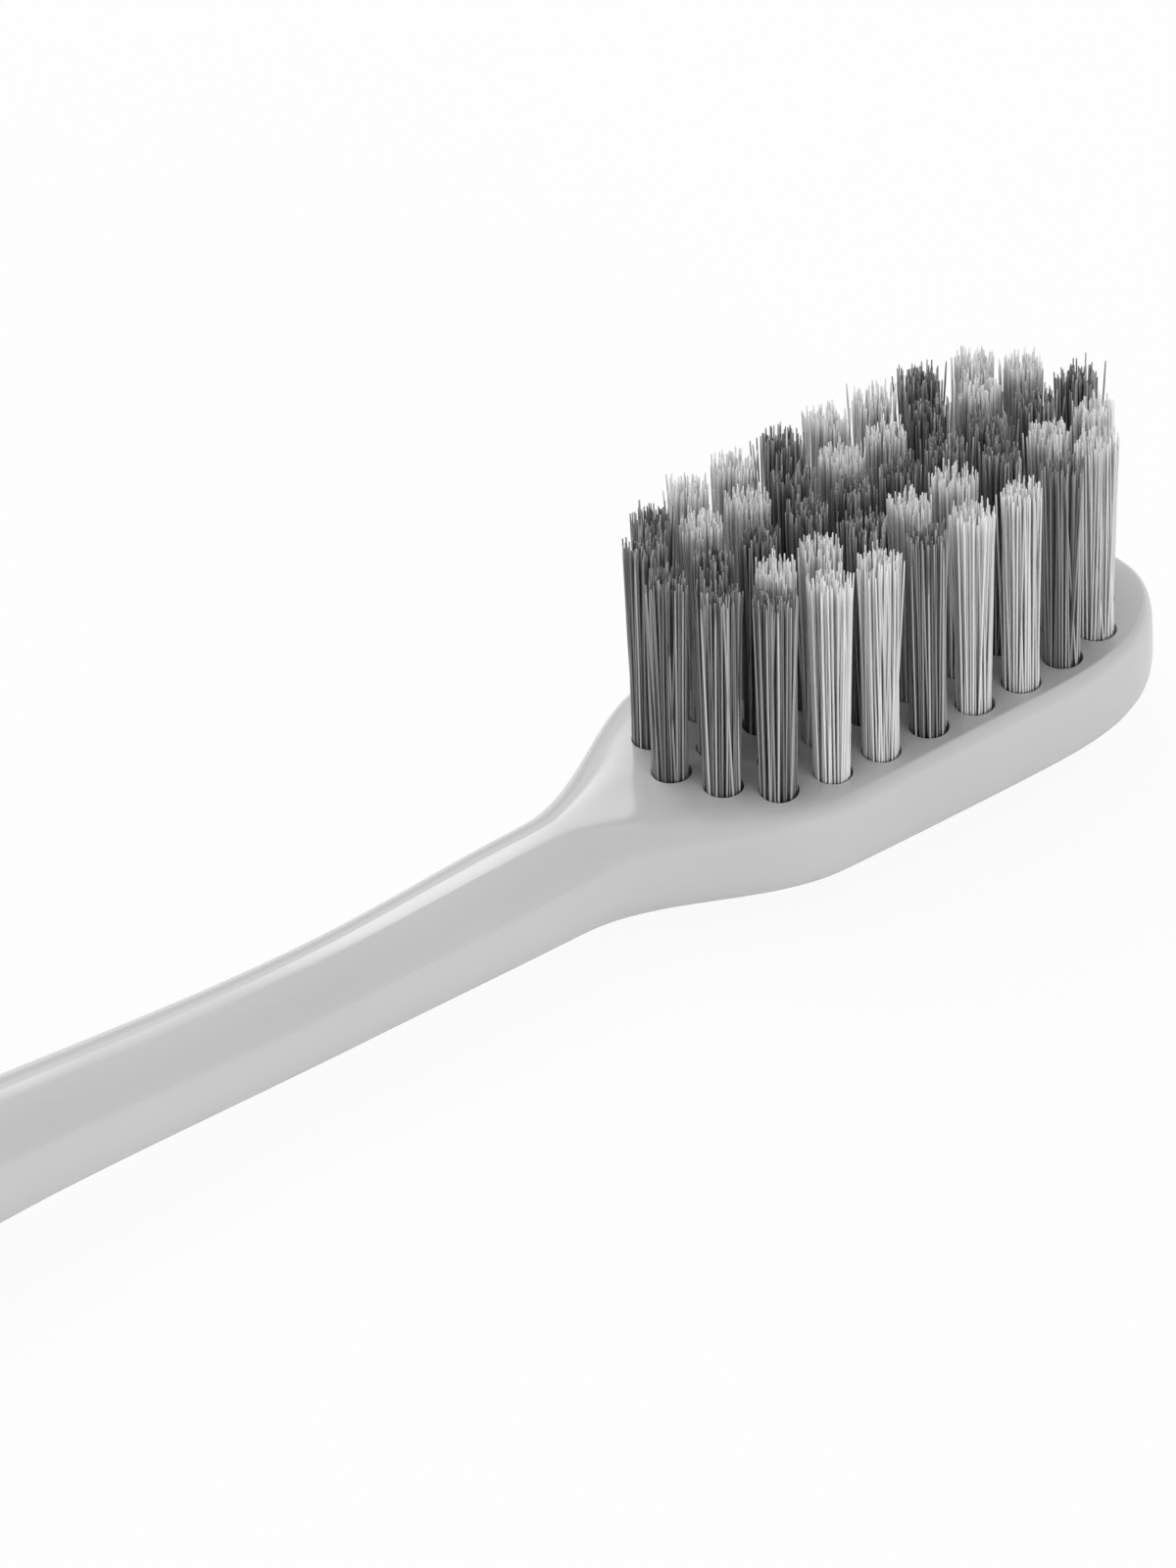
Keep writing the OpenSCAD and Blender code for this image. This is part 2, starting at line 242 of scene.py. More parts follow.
class Form:
    """The outer form of the moulding, the same as in the CAD source, as heights over the plan."""

    def __init__(self, sizes):
        s = self.sizes = sizes
        low, high = HANDLE_BOX
        self.tail_x, self.tip_x = low.x, high.x
        self.head_half_w = high.y
        self.nose_x = self.tip_x - s.nose_l
        self.shoulder_x = FIELD_BACK + s.shoulder_lead
        self.neck_root_x = self.shoulder_x - s.shoulder_l
        self.neck_end_x = FIELD_X - s.neck_end_l
        thumb_x = FIELD_X - s.thumb_l
        waist_x = thumb_x - s.waist_l
        palm_x = waist_x - s.palm_l
        slim_x = FIELD_X - s.neck_slim_l
        face = s.face_z
        root_top = face - s.neck_root_drop
        slim_top = face - s.neck_slim_drop
        end_top = face + s.neck_end_rise
        self.station_x = np.array(
            [self.tail_x, palm_x, waist_x, thumb_x, self.neck_end_x, slim_x, self.neck_root_x]
        )
        self.widths = [s.palm_w, s.palm_w, s.waist_w, s.thumb_w, s.neck_end_d, s.neck_slim_d, s.neck_root_d]
        self.tops = [s.palm_h, s.palm_h, s.waist_h, s.thumb_h, end_top, slim_top, root_top]
        necks = [end_top - s.neck_end_d, slim_top - s.neck_slim_d, root_top - s.neck_root_d]
        self.bottoms = [-s.land_depth] * 4 + necks
        self.powers = [s.grip_power] * 4 + [s.neck_power] * 3

    def fair(self, values, x):
        """A smooth curve through the stations that rises and falls only where they do."""
        v = np.array(values)
        spans = np.diff(self.station_x)
        secants = np.diff(v) / spans
        before, after = secants[:-1], secants[1:]
        same_way = before * after > 0
        total = np.where(same_way, before + after, 1)
        slopes = np.zeros(len(v))
        slopes[1:-1] = np.where(same_way, 2 * before * after / total, 0)
        i = np.clip(np.searchsorted(self.station_x, x, side="right") - 1, 0, len(spans) - 1)
        span = spans[i]
        t = np.clip((x - self.station_x[i]) / span, 0, 1)
        return (
            v[i] * (2 * t ** 3 - 3 * t ** 2 + 1)
            + slopes[i] * span * (t ** 3 - 2 * t ** 2 + t)
            + v[i + 1] * (3 * t ** 2 - 2 * t ** 3)
            + slopes[i + 1] * span * (t ** 3 - t ** 2)
        )

    def head_share(self, x):
        """How much of the head there is at x: none on the neck, all of it past the shoulder."""
        t = np.clip((x - self.neck_root_x) / self.sizes.shoulder_l, 0, 1)
        return (1 - np.cos(math.pi * t)) / 2

    def tail(self, x):
        """How full the round tail of the grip is at x."""
        s = self.sizes
        return fullness(x - self.tail_x, s.tail_l, s.tail_power, s.tail_power)

    def edge(self, x, power):
        """How full the nose is at x, as seen from the side."""
        return fullness(self.tip_x - x, self.sizes.nose_l, power, power)

    def half_w(self, x):
        """Half the width of the brush at x."""
        s = self.sizes
        taper = np.clip((self.nose_x - x) / (self.nose_x - self.shoulder_x), 0, 1) ** 2
        head = self.head_half_w - s.head_taper * taper
        nose = fullness(self.tip_x - x, s.nose_l, s.nose_power, s.nose_round)
        return mix(self.fair(self.widths, x) / 2, head, self.head_share(x)) * nose * self.tail(x)

    def widest_z(self, x):
        """Height at which the brush is widest at x."""
        middle = (self.fair(self.tops, x) + self.fair(self.bottoms, x)) / 2
        return mix(middle, self.sizes.face_z - self.sizes.widest_d, self.head_share(x))

    def skin(self, x, y, upper):
        """Height of the upper or the lower skin over a place in plan."""
        s = self.sizes
        share = self.head_share(x)
        half_t = (self.fair(self.tops, x) - self.fair(self.bottoms, x)) / 2
        end_power = s.crown_power if upper else s.belly_power
        head_t = s.widest_d + s.crown_h if upper else s.head_t - s.widest_d
        reach = mix(half_t, head_t, share) * self.edge(x, end_power) * self.tail(x)
        power = mix(self.fair(self.powers, x), end_power, share)
        across = np.clip(np.abs(y) / np.maximum(self.half_w(x), NEVER_ZERO), 0, 1)
        bulge = reach * (1 - across ** power) ** (1 / power)
        return self.widest_z(x) + (bulge if upper else -bulge)

    def face_share(self, x):
        """How crisp the rim of the tuft face is at x: soft on the shoulder, crisp on the head."""
        fade_l = self.sizes.rim_fade
        return smooth_step(self.shoulder_x - fade_l / 3, self.shoulder_x + fade_l, x)

    def cut_skin(self, x, y, upper):
        """The skin with its flats: the tuft face above, the land under the grip below."""
        s = self.sizes
        raw = self.skin(x, y, upper)
        if not upper:
            return -soft_min(-raw, np.zeros_like(raw), s.rim_blend)
        cut = soft_min(raw, np.full_like(raw, s.face_z), s.rim_blend)
        return mix(self.soft_skin(x, y), cut, self.face_share(x))

    def soft_skin(self, x, y):
        """The upper skin of neck and shoulder, which rounds up to the tuft face without a rim."""
        s = self.sizes
        share = self.head_share(x)
        top = mix(self.fair(self.tops, x), s.face_z, share)
        power = mix(self.fair(self.powers, x), s.soft_power, share ** SOFT_RISE)
        reach = (top - self.widest_z(x)) * self.edge(x, s.crown_power) * self.tail(x)
        across = np.clip(np.abs(y) / np.maximum(self.half_w(x), NEVER_ZERO), 0, 1)
        return self.widest_z(x) + reach * (1 - across ** power) ** (1 / power)

    def rim_reach(self, centre_x, way):
        """Distance in plan from a place on the middle line to the outline, one way."""
        low, high = 0.0, self.tip_x - self.tail_x
        for _ in range(HALVINGS):
            tried = (low + high) / 2
            x = centre_x + tried * way[0]
            inside = self.tail_x < x < self.tip_x and self.half_w(np.array([x]))[0] > abs(tried * way[1])
            low, high = (tried, high) if inside else (low, tried)
        return low


# Modelling helpers

def select_none():
    """Leaves edit mode and deselects everything, the CAD nodes too."""
    if bpy.context.object and bpy.context.object.mode == "EDIT":
        bpy.ops.object.mode_set(mode="OBJECT")
    bpy.ops.object.select_all(action="DESELECT")


def activate(piece):
    select_none()
    bpy.context.view_layer.objects.active = piece
    piece.select_set(True)


def select_vertices(piece, wanted):
    """Selects the vertices for which wanted(co) is true, and stays in edit mode."""
    bpy.ops.object.mode_set(mode="EDIT")
    bpy.ops.mesh.select_mode(type="VERT")
    bpy.ops.mesh.select_all(action="DESELECT")
    bpy.ops.object.mode_set(mode="OBJECT")
    for vertex in piece.data.vertices:
        vertex.select = wanted(vertex.co)
    bpy.ops.object.mode_set(mode="EDIT")


def apply_modifier(piece, kind, **settings):
    """Adds a modifier with its settings and applies it."""
    activate(piece)
    modifier = piece.modifiers.new(kind.title(), kind)
    for name, value in settings.items():
        setattr(modifier, name, value)
    bpy.ops.object.modifier_apply(modifier=modifier.name)


def get_co(mesh):
    """The places of a mesh's vertices, a row for each."""
    co = np.empty(len(mesh.vertices) * 3)
    mesh.vertices.foreach_get("co", co)
    return co.reshape(-1, 3)


def set_co(mesh, co):
    mesh.vertices.foreach_set("co", co.ravel())
    mesh.update()


def copy_mesh(name, base, places):
    """One mesh of several copies of a base mesh. Places holds the vertices of every copy."""
    count = len(base.vertices)
    faces = [tuple(face.vertices) for face in base.polygons]
    mesh = bpy.data.meshes.new(name)
    mesh.from_pydata(
        places.reshape(-1, 3),
        [],
        [[v + count * copy for v in face] for copy in range(len(places)) for face in faces],
    )
    mesh.update()
    return mesh


# Handle

# Faces round half a section, over and under its widest line
UPPER_STEPS = 20
UNDER_STEPS = 12
PROFILE_STEPS = UPPER_STEPS + UNDER_STEPS

# Sections along the brush, and in the quarter fan that rounds each half of an end
GRIP_STATIONS = 27
NECK_STATIONS = 19
SHOULDER_STATIONS = 17
HEAD_STATIONS = 12
FAN_STEPS = 16
NOSE_FAN_L = 7.5 * MM  # From the tip to the middle of its fan
TAIL_FAN_L = 6 * MM  # From the tail to the middle of its fan

FINE_STEPS = 700  # Points of the fine line that a section's points are picked from
RIM_CROWDING = 5  # Exponent that brings those points closer together at the outline
TURN_SHARE = 0.6  # How much the picked points follow turns rather than length
MIDDLE_SHARE = 0.01  # Share of the radius that still counts as the middle line
TOUCH = 1e-6  # Distance in metres under which vertices are one
HOLE_SIDES = 40
HOLE_FLARE = 0.2 * MM  # Height of the drill's flare, most of it over the face
CREASE = math.radians(32)  # Sharper edges than this stay crisp


def by_turn(points, count, turn_share):
    """Points along a fine line of points, closer together where it turns."""
    ways = np.diff(points, axis=0)
    steps = np.linalg.norm(ways, axis=1)
    ways = ways / np.maximum(steps, NEVER_ZERO * MM)[:, None]
    turns = np.arccos(np.clip((ways[:-1] * ways[1:]).sum(axis=1), -1, 1))
    turned = np.concatenate([[0, 0], np.cumsum(turns)])
    along = np.concatenate([[0], np.cumsum(steps)])
    mark = (1 - turn_share) * along / along[-1] + turn_share * turned / turned[-1]
    wanted = np.linspace(0, 1, count + 1)
    return np.stack([np.interp(wanted, mark, points[:, k]) for k in range(3)], axis=1)


def half_profile(form, centre_x, way):
    """The moulding's outline from its top, round its right side, to its underside, in one upright plane."""
    reach = form.rim_reach(centre_x, way)
    out = reach * (1 - (1 - np.linspace(0, 1, FINE_STEPS)) ** RIM_CROWDING)
    x = centre_x + out * way[0]
    y = out * way[1]
    top = np.stack([x, y, form.cut_skin(x, y, True)], axis=1)
    under = np.stack([x, y, form.cut_skin(x, y, False)], axis=1)[::-1]
    top[-1, 2] = under[0, 2] = form.widest_z(x[-1:])[0]
    return np.concatenate([by_turn(top, UPPER_STEPS, TURN_SHARE), by_turn(under, UNDER_STEPS, 0)[1:]])


def build_handle(sizes):
    """One moulding: a half section extruded along the brush, spun round both ends, mirrored and drilled."""
    form = Form(sizes)
    radius = form.head_half_w
    nose_pivot = form.tip_x - NOSE_FAN_L
    tail_pivot = form.tail_x + TAIL_FAN_L
    stations = np.concatenate([
        np.linspace(tail_pivot, form.neck_end_x, GRIP_STATIONS)[:-1],
        np.linspace(form.neck_end_x, form.neck_root_x, NECK_STATIONS)[:-1],
        np.linspace(form.neck_root_x, form.shoulder_x, SHOULDER_STATIONS)[:-1],
        np.linspace(form.shoulder_x, nose_pivot, HEAD_STATIONS),
    ])

    # A half round section at the tail end of the straight part
    select_none()
    bpy.ops.mesh.primitive_circle_add(
        vertices=2 * PROFILE_STEPS, radius=radius, location=(tail_pivot, 0, 0), rotation=(0, math.pi / 2, 0)
    )
    handle = bpy.context.object
    handle.name = handle.data.name = "moulded_handle"
    bpy.ops.object.transform_apply(location=True, rotation=True, scale=True)
    select_vertices(handle, lambda co: co.y > radius * MIDDLE_SHARE)
    bpy.ops.mesh.delete(type="VERT")

    # Extruded from station to station, then spun a quarter turn round each end
    bpy.ops.mesh.select_all(action="SELECT")
    for step in np.diff(stations):
        bpy.ops.mesh.extrude_region_move(TRANSFORM_OT_translate={"value": (step, 0, 0)})
    bpy.ops.mesh.spin(steps=FAN_STEPS, angle=-math.pi / 2, center=(nose_pivot, 0, 0), axis=(0, 0, 1))
    select_vertices(handle, lambda co: abs(co.x - tail_pivot) < TOUCH)
    bpy.ops.mesh.spin(steps=FAN_STEPS, angle=math.pi / 2, center=(tail_pivot, 0, 0), axis=(0, 0, 1))
    bpy.ops.object.mode_set(mode="OBJECT")

    # Each vertex goes from the round section to its place on the form
    co = get_co(handle.data)
    pivot = np.clip(co[:, 0], tail_pivot, nose_pivot)
    out = np.hypot(co[:, 0] - pivot, co[:, 1])
    down = np.arctan2(co[:, 2], out)
    step = np.rint((math.pi / 2 - down) / math.pi * PROFILE_STEPS).astype(int)
    turn = np.where(out > radius * MIDDLE_SHARE, np.arctan2(co[:, 0] - pivot, -co[:, 1]), 0)
    fan = np.rint(turn / (math.pi / 2) * FAN_STEPS).astype(int)
    profiles = {}
    for i in range(len(co)):
        key = (round(pivot[i], 6), fan[i])
        if key not in profiles:
            a = fan[i] * math.pi / 2 / FAN_STEPS
            profiles[key] = half_profile(form, pivot[i], (math.sin(a), -math.cos(a)))
        co[i] = profiles[key][step[i]]
    co[np.isin(step, (0, PROFILE_STEPS)), 1] = 0
    set_co(handle.data, co)

    # The other half, and a finer skin
    apply_modifier(handle, "MIRROR", use_axis=(False, True, False), merge_threshold=TOUCH)
    bpy.ops.object.mode_set(mode="EDIT")
    bpy.ops.mesh.select_all(action="SELECT")
    bpy.ops.mesh.remove_doubles(threshold=TOUCH)
    bpy.ops.mesh.normals_make_consistent(inside=False)
    bpy.ops.object.mode_set(mode="OBJECT")
    apply_modifier(handle, "SUBSURF", levels=1, render_levels=1)

    cutter = hole_cutters(sizes)
    apply_modifier(handle, "BOOLEAN", operation="DIFFERENCE", object=cutter, solver="EXACT")
    bpy.data.objects.remove(cutter)
    activate(handle)
    bpy.ops.object.shade_smooth_by_angle(angle=CREASE)
    handle.data.materials.clear()
    handle.data.materials.append(polished_polypropylene(sizes, form.neck_root_x, FIELD_BACK))
    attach(handle, "root")
    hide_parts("handle")


def hole_cutters(sizes):
    """The drill shape of one tuft hole with its flared mouth, copied to all the tuft places."""
    radius = sizes.hole_d / 2
    mouth_z = sizes.face_z - sizes.hole_break
    select_none()
    bpy.ops.mesh.primitive_cylinder_add(
        vertices=HOLE_SIDES,
        radius=radius,
        depth=mouth_z - HOLE_FLOOR,
        location=(0, 0, (mouth_z + HOLE_FLOOR) / 2),
    )
    drill = bpy.context.object
    bpy.ops.object.transform_apply(location=True, rotation=True, scale=True)
    select_vertices(drill, lambda co: co.z > mouth_z - TOUCH)
    bpy.ops.mesh.extrude_region_move(TRANSFORM_OT_translate={"value": (0, 0, HOLE_FLARE)})
    wider = (radius + HOLE_FLARE) / radius
    bpy.ops.transform.resize(value=(wider, wider, 1), center_override=(0, 0, mouth_z + HOLE_FLARE))
    bpy.ops.object.mode_set(mode="OBJECT")
    drill_co = get_co(drill.data)
    places = np.stack([drill_co + (place.x, place.y, 0) for place in TUFT_PLACES.values()])
    cutters = bpy.data.objects.new("hole_cutters", copy_mesh("hole_cutters", drill.data, places))
    bpy.context.scene.collection.objects.link(cutters)
    bpy.data.objects.remove(drill)
    return cutters


# Tufts

SIDES = 6  # Sides of a filament
STRANDS = 16  # Strands that the filaments of a tuft gather in
ANCHOR_T = 0.25 * MM  # Thickness of an anchor plate
FOLD_GAP = 0.05 * MM  # Room under the fold and over the anchor plate
WALL_SHARE = 0.6  # From a filament's middle to the wall of its hole, in filament widths
BUNDLE_OFFSET = (-0.03 * MM, 0.02 * MM)  # How far a bundle sits from the middle of its hole
BUNDLE_SHAKE = 0.01 * MM  # How much that differs from tuft to tuft
LOOSE_SHARE = 0.09  # Share of the filaments that stray more than the rest
LOOSE_STRAY = 2.8  # How much further they stray
TRIM_PEAK = 2.2  # How much the trimmed tips keep to the middle of their height range
# Painted shade inside a tuft starts at the first share of the bundle's radius and is full at the second
PAINTED_SHADE_EDGE = 0.94  # Share of the bundle's radius at which the shade inside it starts
PAINTED_SHADE_CORE = 0.65  # Share of the radius at which it is full
LIGHT_TONES = (0.8, 1.15)  # Darkest and palest light filament over their colour
DARK_TONES = (0.45, 1.65)  # The same for dark filaments
ROUND_SHADING = math.radians(75)  # More than the 60 degrees between two sides of a filament

# Levels of a filament: at its fold, over the plate, at the face, halfway, under the tip that gets painted
# light, at the tip's rounding and on top. Each has its share of the filament's width, where None is the width
# at the tip, of the painted shade inside the tuft and of the painted highlight or painted shade at the tips.
LEVEL_WIDTHS = (1, 1, 1, 1, 0.92, None, None)
LEVEL_PAINTED_SHADES = (1, 1, 1, 0.5, 0.4, 0, 0)
LEVEL_PAINTED_TIP_LIGHT = (0, 0, 0, 0, 0, 1, 1)
LEVELS = len(LEVEL_WIDTHS)


def model_filament():
    """One filament as a six-sided bar with a level at each height at which its path turns."""
    select_none()
    bpy.ops.mesh.primitive_circle_add(vertices=SIDES, radius=1, fill_type="NGON", location=(0, 0, 0))
    filament = bpy.context.object
    bpy.ops.object.mode_set(mode="EDIT")
    bpy.ops.mesh.select_all(action="SELECT")
    for _ in range(LEVELS - 1):
        bpy.ops.mesh.extrude_region_move(TRANSFORM_OT_translate={"value": (0, 0, 1)})
    bpy.ops.transform.resize(value=(0.5, 0.5, 1), center_override=(0, 0, LEVELS - 1))
    bpy.ops.mesh.select_all(action="SELECT")
    bpy.ops.mesh.normals_make_consistent(inside=False)
    bpy.ops.object.mode_set(mode="OBJECT")
    return filament


def packed_roots(rng, sizes):
    """Places of the filaments in a round bundle, on a triangular grid that the packing has shaken."""
    pitch, radius = sizes.pitch, sizes.bundle_d / 2 - sizes.filament_d / 2
    reach = int(radius / pitch) + 2
    rows = np.arange(-reach, reach + 1)
    a, b = np.meshgrid(rows, rows)
    shift = rng.uniform(-0.5, 0.5, 2) * pitch
    x = (a + b / 2).ravel() * pitch + shift[0]
    y = (b * math.sqrt(3) / 2).ravel() * pitch + shift[1]
    turn = rng.uniform(0, 2 * math.pi)
    x, y = x * math.cos(turn) - y * math.sin(turn), x * math.sin(turn) + y * math.cos(turn)
    inside = np.hypot(x, y) < radius
    places = np.stack([x[inside], y[inside]], axis=1)
    return places + rng.normal(0, 0.5 * (pitch - sizes.filament_d), places.shape)


def filament_paths(rng, sizes, place):
    """The path of every filament of a tuft, up one side of the anchor plate, out of the hole, to its tip,
    and at each level the share of painted shade that its colour gets from how deep inside the tuft it is."""
    roots = packed_roots(rng, sizes)
    count = len(roots)
    face_z = bpy.context.scene.toothbrush_handle.face_z
    plate_half_t = ANCHOR_T / 2 + sizes.filament_d / 2
    hole_r = bpy.context.scene.toothbrush_handle.hole_d / 2 - sizes.filament_d * WALL_SHARE

    # Beside the plate the bundle is parted and pressed against the wall of the hole
    chord = np.sqrt(np.maximum(hole_r ** 2 - roots[:, 0] ** 2, 0))
    side = np.where(roots[:, 1] < 0, -1, 1)
    parted = plate_half_t + np.abs(roots[:, 1]) * (1 - plate_half_t / np.maximum(chord, plate_half_t))
    beside = np.stack([roots[:, 0], side * parted], axis=1)

    # Over the face they fan out, gather in strands and stray, a few of them more than the rest
    knots = roots[rng.choice(count, STRANDS, replace=False)]
    nearest = np.argmin(np.hypot(*(roots[:, None] - knots[None]).transpose(2, 0, 1)), axis=1)
    gathered = sizes.gather * (knots[nearest] - roots)
    lean = (sizes.splay - 1) * roots + gathered + rng.normal(sizes.tip_lean, sizes.stray, (count, 2))
    loose = rng.random(count) < LOOSE_SHARE
    lean[loose] += rng.normal(0, LOOSE_STRAY * sizes.stray, (loose.sum(), 2))
    bow = rng.normal(0, sizes.bow, (count, 2))
    top_z = TRIM_TOP - sizes.ragged * rng.beta(TRIM_PEAK, TRIM_PEAK, count)
    over = top_z - face_z
    heights = [HOLE_FLOOR + FOLD_GAP, ANCHOR_BOX[1].z + FOLD_GAP, face_z, face_z + over / 2]
    heights += [top_z - sizes.painted_tip_light_l, top_z - sizes.tip_round, top_z]
    shares = [np.clip((z - face_z) / over, 0, 1)[:, None] for z in heights]
    middle = np.array(place.xy) + BUNDLE_OFFSET + rng.normal(0, BUNDLE_SHAKE, 2)
    path = np.empty((count, LEVELS, 3))
    for level, (z, share) in enumerate(zip(heights, shares)):
        start = beside if level < 2 else roots
        path[:, level, :2] = middle + start + lean * share + bow * np.sin(math.pi * share)
        path[:, level, 2] = z

    # Painted shade: none on the skin of the bundle, full in its core, scaled at each level towards the tips
    inside = smooth_step(PAINTED_SHADE_EDGE, PAINTED_SHADE_CORE, np.hypot(*roots.T) / (sizes.bundle_d / 2))
    return path, np.outer(inside, LEVEL_PAINTED_SHADES)


def build_tufts(sizes):
    """The tufts, each a bundle of copies of one modelled filament."""
    filament = model_filament()
    base = get_co(filament.data)
    level = np.rint(base[:, 2]).astype(int)
    taper = np.array([width or sizes.tip_share for width in LEVEL_WIDTHS])[level]
    across = base[:, :2] * taper[:, None] * sizes.filament_d / 2
    light_nylon = drawn_nylon("light", sizes.light, *LIGHT_TONES)
    dark_nylon = drawn_nylon("dark", sizes.dark, *DARK_TONES)
    # Each nylon: its material, its painted shade deep in a tuft, how fast that fades towards the tips, and
    # its painted tip light
    finishes = {
        "bristle_light": (light_nylon, sizes.light_painted_shade, sizes.light_painted_shade_reach, sizes.light_painted_tip_light),
        "bristle_dark": (dark_nylon, sizes.dark_painted_shade, sizes.dark_painted_shade_reach, sizes.dark_painted_tip_light),
    }
    for number, node in enumerate(TUFT_NODES):
        rng = np.random.default_rng(sizes.seed + number)
        paths, inside = filament_paths(rng, sizes, TUFT_PLACES[node])
        material, painted_shade, reach, glow = finishes[SLOT_OF[node]]
        # Painted light in the colour: painted shade deep in the tuft, and a painted highlight on light tips
        # or painted shade on dark tips
        light = (1 - painted_shade * inside ** reach) * (1 + glow * np.array(LEVEL_PAINTED_TIP_LIGHT))
        places = paths[:, level, :].copy()
        places[:, :, :2] += across
        name = node.replace("tuft", "bristles")
        tuft = bpy.data.objects.new(name, copy_mesh(name, filament.data, places))
        bpy.context.scene.collection.objects.link(tuft)
        tone = tuft.data.attributes.new("tone", "FLOAT", "POINT")
        tone.data.foreach_set("value", np.repeat(rng.random(len(places)), len(base)))
        painted_light = tuft.data.attributes.new("painted_light", "FLOAT", "POINT")
        painted_light.data.foreach_set("value", light[:, level].ravel())
        activate(tuft)
        bpy.ops.object.shade_smooth_by_angle(angle=ROUND_SHADING)
        tuft.data.materials.append(material)
        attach(tuft, "root")
        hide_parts(node)
    bpy.data.objects.remove(filament)


# Materials

# Polypropylene: flow clouds, uneven gloss and the waves where it shrank as it cooled
CLOUD_W = 7 * MM
CLOUD_TONES = (0.97, 1.03)
HAZE_W = 1.2 * MM
HAZE_RANGE = (0.8, 1.2)
WAVE_L = 14 * MM
WAVE_W = 3.5 * MM
WAVE_DEPTH = 0.12 * MM

# Nylon, and brass with its rolling lines
NYLON_ROUGHNESS = (0.28, 0.42)
ROLL_LINE_W = 0.03 * MM
ROLL_STRETCH = 0.05
BRASS_TONES = (0.85, 1.1)
BRASS_ROUGHNESS = (0.25, 0.42)


def add_node(tree, kind, inputs=None, **settings):
    """Adds a node with its settings. Each of its inputs gets a value, or the output that feeds it."""
    node = tree.nodes.new(kind)
    for name, value in settings.items():
        setattr(node, name, value)
    for name, value in (inputs or {}).items():
        if isinstance(value, bpy.types.NodeSocket):
            tree.links.new(value, node.inputs[name])
        else:
            node.inputs[name].default_value = value
    return node


def new_material(name):
    """A material with an empty tree, its shader and its output."""
    material = bpy.data.materials.new(name)
    material.use_nodes = True
    tree = material.node_tree
    tree.nodes.clear()
    shader = add_node(tree, "ShaderNodeBsdfPrincipled")
    add_node(tree, "ShaderNodeOutputMaterial", {"Surface": shader.outputs["BSDF"]})
    return material, tree, shader


def toned(base, tone):
    """A colour made darker or paler, as a shader's input wants it."""
    return [min(c * tone, 1) for c in base] + [1]


def polished_polypropylene(sizes, clear_to, soft_from):
    """Polypropylene injected into a polished steel mould: an even pale grey, a clear gloss that wavers
    slightly where the skin cooled, and faint flow clouds in the colour. Drilling the head leaves a fine
    haze on it, so between two places along the brush the gloss turns softer."""
    material, tree, shader = new_material("polished_polypropylene")
    place = add_node(tree, "ShaderNodeTexCoord").outputs["Object"]

    # Flow clouds in the colour
    clouds = add_node(
        tree,
        "ShaderNodeTexNoise",
        {"Vector": place, "Scale": 1 / CLOUD_W, "Detail": 2.0, "Roughness": 0.5},
    )
    cloudy, clear = [toned(sizes.plastic, tone) for tone in CLOUD_TONES]
    skin = add_node(tree, "ShaderNodeMix", {0: clouds.outputs["Fac"], 6: cloudy, 7: clear}, data_type="RGBA")
    tree.links.new(skin.outputs[2], shader.inputs["Base Color"])

    # A clear gloss on grip and neck, a softer one on the head, both slightly uneven
    haze = add_node(
        tree,
        "ShaderNodeTexNoise",
        {"Vector": place, "Scale": 1 / HAZE_W, "Detail": 3.0, "Roughness": 0.6},
    )
    uneven = add_node(
        tree,
        "ShaderNodeMapRange",
        {"Value": haze.outputs["Fac"], "To Min": HAZE_RANGE[0], "To Max": HAZE_RANGE[1]},
    )
    along = add_node(tree, "ShaderNodeSeparateXYZ", {0: place}).outputs["X"]
    polish = add_node(
        tree,
        "ShaderNodeMapRange",
        {
            "Value": along,
            "From Min": clear_to,
            "From Max": soft_from,
            "To Min": sizes.gloss_roughness,
            "To Max": sizes.head_roughness,
        },
        interpolation_type="SMOOTHSTEP",
    )
    gloss = add_node(
        tree,
        "ShaderNodeMath",
        {0: polish.outputs["Result"], 1: uneven.outputs["Result"]},
        operation="MULTIPLY",
    )
    tree.links.new(gloss.outputs[0], shader.inputs["Roughness"])

    # Faint waves along the brush
    drawn = add_node(
        tree,
        "ShaderNodeVectorMath",
        {0: place, 1: (1 / WAVE_L, 1 / WAVE_W, 1 / WAVE_W)},
        operation="MULTIPLY",
    )
    waves = add_node(tree, "ShaderNodeTexNoise", {"Vector": drawn.outputs[0], "Scale": 1.0, "Detail": 1.0})
    bump = add_node(
        tree,
        "ShaderNodeBump",
        {"Height": waves.outputs["Fac"], "Strength": 1.0, "Distance": WAVE_DEPTH},
    )
    tree.links.new(bump.outputs["Normal"], shader.inputs["Normal"])

    # The mirror polish of the mould shows as a stronger gloss than the usual half
    shader.inputs["IOR"].default_value = 1.49
    shader.inputs["Specular IOR Level"].default_value = 1.0
    return material


